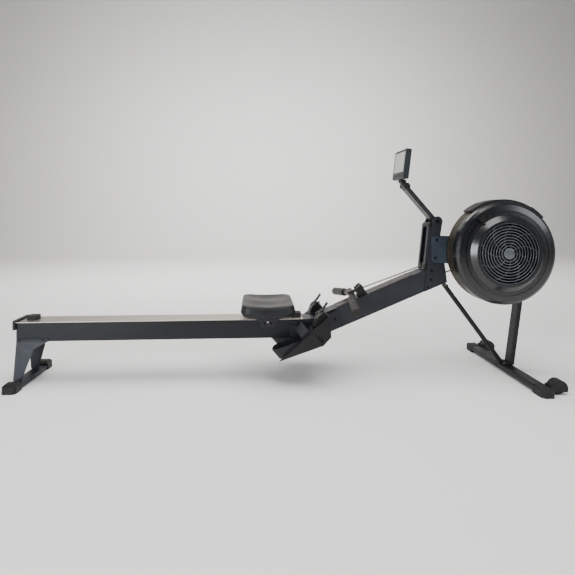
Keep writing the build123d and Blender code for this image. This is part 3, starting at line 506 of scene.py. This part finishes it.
def smoothPath(path, rounds=3):
    for _ in range(rounds):
        cut = [path[0]]
        for first, second in zip(path, path[1:]):
            cut += [first * 0.75 + second * 0.25, first * 0.25 + second * 0.75]
        path = cut + [path[-1]]
    return path


def pathLength(path):
    return sum((b - a).length for a, b in zip(path, path[1:]))


def ribbon(name, anchor, profile, start, material):
    # a flat band: profile is its (y, up) line across the foot, swept along the footplate
    line = smoothPath([Vector((y, up)) for y, up in profile])
    cuts = 12
    half = strap["thickness"] / 2
    points, faces, marks = [], [], []
    gone = 0.0
    for index, spot in enumerate(line):
        ahead = line[min(index + 1, len(line) - 1)] - line[max(index - 1, 0)]
        ahead.normalize()
        side = Vector((-ahead.y, ahead.x)) * half
        if index:
            gone += (spot - line[index - 1]).length
        for face in (1, -1):
            for cut in range(cuts + 1):
                share = cut / cuts
                thin = 0.55 if cut in (0, cuts) else 1.0
                points.append(footPoint(anchor, start + share * strap["width"], spot.y + side.y * face * thin,
                                        spot.x + side.x * face * thin))
                marks.append((gone, share * strap["width"]))
    row = 2 * (cuts + 1)
    loop = list(range(cuts + 1)) + list(range(row - 1, cuts, -1))
    for index in range(len(line) - 1):
        for step in range(row):
            a, b = loop[step], loop[(step + 1) % row]
            faces.append((index * row + a, index * row + b, (index + 1) * row + b, (index + 1) * row + a))
    faces.append(tuple(loop))
    faces.append(tuple((len(line) - 1) * row + k for k in reversed(loop)))
    obj = meshObject(name, points, faces, material)
    found = {tuple(round(c, 5) for c in p): m for p, m in zip(points, marks)}
    chart = obj.data.uv_layers.new(name="strap")
    for corner in obj.data.loops:
        spot = obj.data.vertices[corner.vertex_index].co
        chart.data[corner.index].uv = found.get(tuple(round(c, 5) for c in spot), (0, 0))
    return obj, pathLength(line)


def makeStrap(side, name):
    low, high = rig.box("foot_strap_" + name)
    inner, outer = (high.y, low.y) if side < 0 else (low.y, high.y)
    toward = 1 if outer > inner else -1
    halfGap = strap["thickness"] / 2 + 0.0002
    anchor = Vector((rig.box("footrest_skirts")[0].x, 0, strap["anchor"]))
    floor = -0.0055
    nearEdge, farEdge = inner + toward * halfGap, outer - toward * halfGap
    profile = [(nearEdge, floor), (nearEdge, 0.012), (nearEdge, 0.024),
               (inner + toward * 0.018, 0.0425), (inner + toward * 0.045, 0.0425), (outer - toward * 0.03, 0.039),
               (farEdge, 0.014), (farEdge, 0.006), (farEdge, floor)]
    obj, length = ribbon("strap" + name.title(), anchor, profile, strap["start"], finishes["webbing"])
    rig.replaces(obj, "foot_strap_" + name)
    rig.slot(obj, "webbing")
    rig.sheet(obj, flat=(strap["width"], length), held="stretched", rests_on=["footplates"])
    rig.ride(obj, "frame")
    return length


strapLengths = [makeStrap(side, name) for side, name in ((-1, "near"), (1, "far"))]
say("straps, " + ", ".join(f"{length:.3f} m" for length in strapLengths))

# Drive chain ------------------------------------------------------------------------------------
chain = {"pitch": 0.0127, "plate": 0.0011, "height": 0.0066, "width": 0.005, "roller": 0.0024,
         "innerShare": 0.62}


def oneLink():
    # one pitch of chain along X: its two side plates, and the roller at its start
    shell = bmesh.new()
    half, ring = chain["width"] / 2, 7
    for side in (-1, 1):
        loops = []
        for y in (side * half, side * (half - chain["plate"])):
            loop = []
            for end in (0, 1):
                centre = (end - 0.5) * chain["pitch"]
                for step in range(ring + 1):
                    angle = math.pi / 2 + math.pi * (step / ring + end)
                    loop.append(shell.verts.new((centre + chain["height"] / 2 * math.cos(angle), y,
                                                 chain["height"] / 2 * math.sin(angle))))
            loops.append(loop)
        shell.faces.new(loops[0])
        shell.faces.new(loops[1][::-1])
        for index in range(len(loops[0])):
            following = (index + 1) % len(loops[0])
            shell.faces.new((loops[0][index], loops[1][index], loops[1][following], loops[0][following]))
    turn = Matrix.Translation((-chain["pitch"] / 2, 0, 0)) @ Matrix.Rotation(math.pi / 2, 4, "X")
    bmesh.ops.create_cone(shell, cap_ends=True, segments=12, radius1=chain["roller"], radius2=chain["roller"],
                          depth=chain["width"] - 2 * chain["plate"], matrix=turn)
    bmesh.ops.recalc_face_normals(shell, faces=shell.faces)
    return kept("link", shell, finishes["chain_steel"])


def kept(name, shell, material):
    mesh = bpy.data.meshes.new(name)
    shell.to_mesh(mesh)
    shell.free()
    obj = bpy.data.objects.new(name, mesh)
    bpy.context.collection.objects.link(obj)
    paint(obj, material)
    return obj


def newTree(name, sockets):
    # a geometry tree with named inputs; returns it with its input node
    tree = bpy.data.node_groups.new(name, "GeometryNodeTree")
    tree.interface.new_socket("Geometry", in_out="INPUT", socket_type="NodeSocketGeometry")
    for label, kind in sockets:
        tree.interface.new_socket(label, in_out="INPUT", socket_type="NodeSocket" + kind)
    tree.interface.new_socket("Geometry", in_out="OUTPUT", socket_type="NodeSocketGeometry")
    return tree, add(tree, "NodeGroupInput")


def closeTree(tree, geometry, finish):
    # every tree ends as real geometry with its finish set
    real = add(tree, "GeometryNodeRealizeInstances", {"Geometry": geometry})
    painted = add(tree, "GeometryNodeSetMaterial", {"Geometry": real.outputs["Geometry"], "Material": finish})
    add(tree, "NodeGroupOutput", {"Geometry": painted.outputs["Geometry"]})
    return tree


def sum2(tree, operation, first, second):
    # a math node; each side is a socket or a plain number
    made = add(tree, "ShaderNodeMath", operation=operation)
    for slot, side in enumerate((first, second)):
        if isinstance(side, (int, float)):
            made.inputs[slot].default_value = side
        else:
            tree.links.new(side, made.inputs[slot])
    return made.outputs[0]


def linksTree():
    # links set one pitch apart along a curve; every other one is an inner link, so it is narrower
    tree, given = newTree("linksAlong", [("Piece", "Object"), ("Spacing", "Float"), ("Inner Share", "Float"),
                                         ("Finish", "Material")])
    spaced = add(tree, "GeometryNodeCurveToPoints",
                 {"Curve": given.outputs["Geometry"], "Length": given.outputs["Spacing"]}, mode="LENGTH")
    piece = add(tree, "GeometryNodeObjectInfo", {"Object": given.outputs["Piece"]})
    index = add(tree, "GeometryNodeInputIndex")
    odd = sum2(tree, "MODULO", index.outputs[0], 2)
    less = sum2(tree, "MULTIPLY", odd, sum2(tree, "SUBTRACT", 1, given.outputs["Inner Share"]))
    narrower = sum2(tree, "SUBTRACT", 1, less)
    size = add(tree, "ShaderNodeCombineXYZ", {"Y": narrower}, {"X": 1, "Z": 1})
    aim = add(tree, "FunctionNodeAlignRotationToVector", {"Vector": spaced.outputs["Tangent"]},
              axis="X", pivot_axis="Y")
    placed = add(tree, "GeometryNodeInstanceOnPoints",
                 {"Points": spaced.outputs["Points"], "Instance": piece.outputs["Geometry"],
                  "Rotation": aim.outputs["Rotation"], "Scale": size.outputs["Vector"]})
    return closeTree(tree, placed.outputs["Instances"], given.outputs["Finish"])


def grown(name, carrier, tree, inputs, material):
    # runs a geometry tree on a carrier object and keeps the result as a plain mesh
    modifier = carrier.modifiers.new("grow", "NODES")
    modifier.node_group = tree
    for socket in tree.interface.items_tree:
        if socket.in_out == "INPUT" and socket.name in inputs:
            modifier[socket.identifier] = inputs[socket.name]
    carrier.update_tag()
    bpy.context.view_layer.update()
    graph = bpy.context.evaluated_depsgraph_get()
    mesh = bpy.data.meshes.new_from_object(carrier.evaluated_get(graph))
    bpy.data.objects.remove(carrier)
    obj = bpy.data.objects.new(name, mesh)
    bpy.context.collection.objects.link(obj)
    paint(obj, material)
    return obj


def lineCurve(name, path):
    data = bpy.data.curves.new(name, "CURVE")
    data.dimensions = "3D"
    run = data.splines.new("POLY")
    run.points.add(len(path) - 1)
    for point, spot in zip(run.points, path):
        point.co = (*spot, 1)
    obj = bpy.data.objects.new(name, data)
    bpy.context.collection.objects.link(obj)
    return obj


# the flywheel's axle, and the chain's line from the handle, over the guide, round the sprocket, into the boom
axle = Vector((0.988, 0, 0.58))
handleEnd = Vector((0.3307, 0, 0.3930))
guidePoint = Vector((0.66759, 0, 0.51393))
mouth = Vector((0.6346, 0, 0.4344))
wrapRadius = 0.03504
awayFromGuide = 0.07


def chainPath():
    path = [handleEnd, guidePoint]
    for step in range(25):
        angle = math.pi / 2 - math.pi * step / 24
        path.append(axle + wrapRadius * Vector((math.cos(angle), 0, math.sin(angle))))
    return path + [mouth]


link = oneLink()
driveChain = grown("driveChain", lineCurve("chainLine", chainPath()), linksTree(),
                   {"Piece": link, "Spacing": chain["pitch"], "Inner Share": chain["innerShare"],
                    "Finish": finishes["chain_steel"]}, finishes["chain_steel"])
bpy.data.objects.remove(link)
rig.replaces(driveChain, "chain")
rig.slot(driveChain, "chain_steel")
blendStart = guidePoint + (handleEnd - guidePoint).normalized() * awayFromGuide
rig.blend(driveChain, "frame", "handle", start=blendStart, end=handleEnd)
say(f"chain, {len(driveChain.data.polygons)} faces")

# Perforated rim ---------------------------------------------------------------------------------
rim = {"pitch": 0.007, "hole": 0.0046, "thickness": 0.0012, "margin": 0.0045}
rimLow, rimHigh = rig.box("drum_rim_band")


def hexTile():
    # one cell of the sheet with its hole; cells meet edge to edge
    shell = bmesh.new()
    hole = rim["hole"] / 2
    rings = []
    for z in (rim["thickness"] / 2, -rim["thickness"] / 2):
        outer, inner = [], []
        for step in range(12):
            angle = math.radians(30 * step)
            reach = rim["pitch"] / 2 if step % 2 == 0 else rim["pitch"] / 2 / math.cos(math.radians(30))
            outer.append(shell.verts.new((reach * math.cos(angle), reach * math.sin(angle), z)))
            inner.append(shell.verts.new((hole * math.cos(angle), hole * math.sin(angle), z)))
        rings.append((outer, inner))
    (topOuter, topInner), (lowOuter, lowInner) = rings
    for step in range(12):
        ahead = (step + 1) % 12
        shell.faces.new((topOuter[step], topOuter[ahead], topInner[ahead], topInner[step]))
        shell.faces.new((lowOuter[ahead], lowOuter[step], lowInner[step], lowInner[ahead]))
        shell.faces.new((topInner[step], topInner[ahead], lowInner[ahead], lowInner[step]))
    return kept("tile", shell, finishes["rim_mesh"])


def sheetTree():
    # cells laid in staggered rows, then rolled into a hoop about the Y axis
    tree, given = newTree("rolledSheet", [("Piece", "Object"), ("Columns", "Int"), ("Rows", "Int"),
                                          ("Pitch", "Float"), ("Radius", "Float"), ("Finish", "Material")])
    pitch, columns, rows = (given.outputs[label] for label in ("Pitch", "Columns", "Rows"))
    rowStep = sum2(tree, "MULTIPLY", pitch, math.sqrt(3) / 2)
    grid = add(tree, "GeometryNodeMeshGrid",
               {"Size X": sum2(tree, "MULTIPLY", sum2(tree, "SUBTRACT", columns, 1), pitch),
                "Size Y": sum2(tree, "MULTIPLY", sum2(tree, "SUBTRACT", rows, 1), rowStep),
                "Vertices X": columns, "Vertices Y": rows})
    index = add(tree, "GeometryNodeInputIndex")
    stagger = sum2(tree, "MULTIPLY", sum2(tree, "MODULO", sum2(tree, "MODULO", index.outputs[0], rows), 2),
                   sum2(tree, "MULTIPLY", pitch, 0.5))
    shift = add(tree, "ShaderNodeCombineXYZ", {"X": stagger})
    moved = add(tree, "GeometryNodeSetPosition",
                {"Geometry": grid.outputs["Mesh"], "Offset": shift.outputs["Vector"]})
    piece = add(tree, "GeometryNodeObjectInfo", {"Object": given.outputs["Piece"]})
    placed = add(tree, "GeometryNodeInstanceOnPoints",
                 {"Points": moved.outputs["Geometry"], "Instance": piece.outputs["Geometry"]})
    real = add(tree, "GeometryNodeRealizeInstances", {"Geometry": placed.outputs["Instances"]})
    here = add(tree, "GeometryNodeInputPosition")
    parts = add(tree, "ShaderNodeSeparateXYZ", {"Vector": here.outputs["Position"]})
    turned = sum2(tree, "DIVIDE", parts.outputs["X"], sum2(tree, "MULTIPLY", columns, pitch))
    angle = sum2(tree, "MULTIPLY", turned, 2 * math.pi)
    reach = sum2(tree, "ADD", given.outputs["Radius"], parts.outputs["Z"])
    rolled = add(tree, "ShaderNodeCombineXYZ",
                 {"X": sum2(tree, "MULTIPLY", reach, sum2(tree, "COSINE", angle, 0)),
                  "Y": parts.outputs["Y"],
                  "Z": sum2(tree, "MULTIPLY", reach, sum2(tree, "SINE", angle, 0))})
    bent = add(tree, "GeometryNodeSetPosition",
               {"Geometry": real.outputs["Geometry"], "Position": rolled.outputs["Vector"]})
    welded = add(tree, "GeometryNodeMergeByDistance", {"Geometry": bent.outputs["Geometry"]},
                 {"Distance": 0.2 * mm})
    return closeTree(tree, welded.outputs["Geometry"], given.outputs["Finish"])


def hoop(radius, y0, y1, thickness, segments=180):
    # a plain rolled edge, rectangular in section
    points, faces = [], []
    for step in range(segments):
        angle = 2 * math.pi * step / segments
        for reach, y in ((radius, y0), (radius + thickness, y0), (radius + thickness, y1), (radius, y1)):
            points.append((reach * math.cos(angle), y, reach * math.sin(angle)))
    for step in range(segments):
        near, far = step * 4, ((step + 1) % segments) * 4
        for side in range(4):
            faces.append((near + side, near + (side + 1) % 4, far + (side + 1) % 4, far + side))
    return points, faces


def joinObjects(main, *others):
    shell = bmesh.new()
    for obj in (main, *others):
        shell.from_mesh(obj.data)
    bmesh.ops.recalc_face_normals(shell, faces=shell.faces)
    shell.to_mesh(main.data)
    shell.free()
    for obj in others:
        bpy.data.objects.remove(obj)
    return main


def makeRim():
    radius = (rimHigh.z - rimLow.z) / 2 - 0.0013
    centreY, width = (rimLow.y + rimHigh.y) / 2, rimHigh.y - rimLow.y
    columns = round(2 * math.pi * radius / rim["pitch"])
    rows = int((width - 2 * rim["margin"]) / (rim["pitch"] * math.sqrt(3) / 2)) + 1
    tile = hexTile()
    sheet = grown("rimSheet", lineCurve("rimLine", [(0, 0, 0), (0.001, 0, 0)]), sheetTree(),
                  {"Piece": tile, "Columns": columns, "Rows": rows, "Pitch": rim["pitch"], "Radius": radius,
                   "Finish": finishes["rim_mesh"]}, finishes["rim_mesh"])
    bpy.data.objects.remove(tile)
    edges = []
    inner = radius - rim["thickness"] / 2 - 0.0001
    for side in (-1, 1):
        y0, y1 = side * (width / 2 - rim["margin"] - 0.001), side * width / 2
        band = hoop(inner, y0, y1, rim["thickness"] + 0.0004)
        edges.append(meshObject("rimEdge", *band, finishes["rim_mesh"], False))
    sheet = joinObjects(sheet, *edges)
    sheet.data.transform(Matrix.Translation((axle.x, centreY, axle.z)))
    return sheet


rimSheet = makeRim()
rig.replaces(rimSheet, "drum_rim_band")
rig.slot(rimSheet, "rim_mesh")
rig.ride(rimSheet, "frame")
say(f"rim, {len(rimSheet.data.polygons)} faces")

# Face grille ------------------------------------------------------------------------------------
grille = {"rings": 9, "spokes": 9, "swirl": 40, "wire": 0.0021, "hub": 0.025}
grilleLow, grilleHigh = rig.box("drum_grille")


def wiresTree():
    # the swirling ribs: one curved rib turned round the axis, then given a round section
    tree, given = newTree("swirlingRibs", [("Spokes", "Int"), ("Wire", "Float"), ("Finish", "Material")])
    spot = add(tree, "GeometryNodeMeshLine", {"Count": given.outputs["Spokes"]}, {"Offset": (0, 0, 0)})
    index = add(tree, "GeometryNodeInputIndex")
    share = sum2(tree, "DIVIDE", index.outputs[0], given.outputs["Spokes"])
    turn = sum2(tree, "MULTIPLY", share, 2 * math.pi)
    spin = add(tree, "ShaderNodeCombineXYZ", {"Y": turn})
    placed = add(tree, "GeometryNodeInstanceOnPoints",
                 {"Points": spot.outputs["Mesh"], "Instance": given.outputs["Geometry"],
                  "Rotation": spin.outputs["Vector"]})
    real = add(tree, "GeometryNodeRealizeInstances", {"Geometry": placed.outputs["Instances"]})
    section = add(tree, "GeometryNodeCurvePrimitiveCircle", {"Radius": given.outputs["Wire"]},
                  {"Resolution": 8})
    swept = add(tree, "GeometryNodeCurveToMesh",
                {"Curve": real.outputs["Geometry"], "Profile Curve": section.outputs["Curve"]},
                {"Fill Caps": True})
    return closeTree(tree, swept.outputs["Mesh"], given.outputs["Finish"])


def wireRing(radius, section, y, segments=144, sides=10):
    points, faces = [], []
    for step in range(segments):
        angle = 2 * math.pi * step / segments
        for side in range(sides):
            bend = 2 * math.pi * side / sides
            reach = radius + section * math.cos(bend)
            points.append((reach * math.cos(angle), y + section * math.sin(bend), reach * math.sin(angle)))
    for step in range(segments):
        near, far = step * sides, ((step + 1) % segments) * sides
        for side in range(sides):
            faces.append((near + side, near + (side + 1) % sides, far + (side + 1) % sides, far + side))
    return meshObject("ring", points, faces, finishes["grille_wire"])


def turnedDisc(name, profile, material, segments=72):
    # a profile of (radius, y) turned about the Y axis; it starts and ends on the axis
    points, faces = [], []
    for radius, y in profile:
        for step in range(segments):
            angle = 2 * math.pi * step / segments
            points.append((radius * math.cos(angle), y, radius * math.sin(angle)))
    for ring in range(len(profile) - 1):
        for step in range(segments):
            ahead = (step + 1) % segments
            low, high = ring * segments, (ring + 1) * segments
            faces.append((low + step, low + ahead, high + ahead, high + step))
    return meshObject(name, points, faces, material)


def makeGrille():
    outer = (grilleHigh.z - grilleLow.z) / 2
    face = grilleLow.y
    wire = grille["wire"]
    step = (outer - grille["hub"]) / grille["rings"]
    rings = [wireRing(grille["hub"] + step * (index + 1) - wire, wire * 0.8, face + wire)
             for index in range(grille["rings"])]
    rib = []
    for index in range(25):
        share = index / 24
        radius = grille["hub"] - 0.002 + (outer - grille["hub"]) * share
        angle = -math.radians(grille["swirl"]) * share ** 1.3
        rib.append((radius * math.cos(angle), face + wire * 1.8, radius * math.sin(angle)))
    ribs = grown("ribs", lineCurve("rib", rib), wiresTree(),
                 {"Spokes": grille["spokes"], "Wire": wire * 0.42, "Finish": finishes["grille_wire"]},
                 finishes["grille_wire"])
    hub, back = grille["hub"], grilleHigh.y
    profile = [(0.0001, face), (hub - 0.007, face), (hub - 0.005, face + 0.0004),
               (hub - 0.0015, face + 0.0004), (hub, face + 0.0016), (hub, back - 0.0005),
               (hub - 0.001, back), (0.0001, back)]
    disc = turnedDisc("hub", profile, finishes["grille_wire"])
    made = joinObjects(ribs, disc, *rings)
    made.name = "faceGrille"
    made.data.transform(Matrix.Translation((axle.x, 0, axle.z)))
    return made


faceGrille = makeGrille()
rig.replaces(faceGrille, "drum_grille")
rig.slot(faceGrille, "grille_wire")
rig.ride(faceGrille, "frame")
say(f"grille, {len(faceGrille.data.polygons)} faces")


# Floor, light and camera ------------------------------------------------------------------------
def floorMaterial():
    material, _, surface = newMaterial("paleFloor")
    surface.inputs["Base Color"].default_value = srgb("#e4e2df")
    surface.inputs["Roughness"].default_value = 0.7
    return material


def makeFloor():
    size, bend, rise = 11.0, 1.2, 9.0
    points, faces = [], []
    foot = size * 0.45
    curved = [(foot + bend * math.sin(a), bend * (1 - math.cos(a))) for a in (math.pi / 32 * k for k in range(17))]
    line = [(-size, 0.0)] + curved + [(foot + bend, rise)]
    for y, z in line:
        points += [(-size, y, z), (size, y, z)]
    for index in range(len(line) - 1):
        faces.append((2 * index, 2 * index + 1, 2 * index + 3, 2 * index + 2))
    return meshObject("floor", points, faces, floorMaterial())


def areaLight(name, spot, target, size, power, tint="#ffffff"):
    data = bpy.data.lights.new(name, "AREA")
    data.shape = "RECTANGLE"
    data.size, data.size_y = size
    data.energy = power
    data.color = srgb(tint)[:3]
    obj = bpy.data.objects.new(name, data)
    obj.location = spot
    obj.rotation_euler = (Vector(target) - Vector(spot)).to_track_quat("-Z", "Y").to_euler()
    bpy.context.collection.objects.link(obj)
    return obj


stage = [makeFloor(),
         areaLight("overhead", (-0.2, -0.3, 3.4), (0, 0, 0.2), (4.5, 2.4), 230),
         areaLight("fromLeft", (-2.3, -3.0, 0.9), (0.9, 0, 0.55), (1.0, 1.6), 90, "#f3f8ff"),
         areaLight("fromRight", (3.6, -2.4, 2.0), (0.5, 0, 0.5), (1.2, 2.2), 45, "#f4f8ff"),
         areaLight("onBackdrop", (0, 1.9, 2.9), (0, 5.6, 1.2), (6.0, 1.2), 330)]
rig.stage(*stage)

world = bpy.data.worlds.new("room")
world.use_nodes = True
bpy.context.scene.world = world
backdrop = world.node_tree.nodes["Background"]
backdrop.inputs["Color"].default_value = srgb("#eef0f2")
backdrop.inputs["Strength"].default_value = 0.25

cameraData = bpy.data.cameras.new("view")
cameraData.lens = 25.23
cameraData.shift_x = 0.0223
cameraData.shift_y = -0.133
cameraObject = bpy.data.objects.new("view", cameraData)
cameraObject.location = (-0.146, -1.90, 0.771)
cameraObject.rotation_euler = (math.radians(90), 0, math.radians(-2.8))
bpy.context.collection.objects.link(cameraObject)
bpy.context.scene.camera = cameraObject

with open("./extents.json", "w") as out:
    json.dump({"atLoad": [list(v) for v in boundsAtLoad], "atFinish": [list(v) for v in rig.bounds()]}, out)
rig.finish()
say("finished")
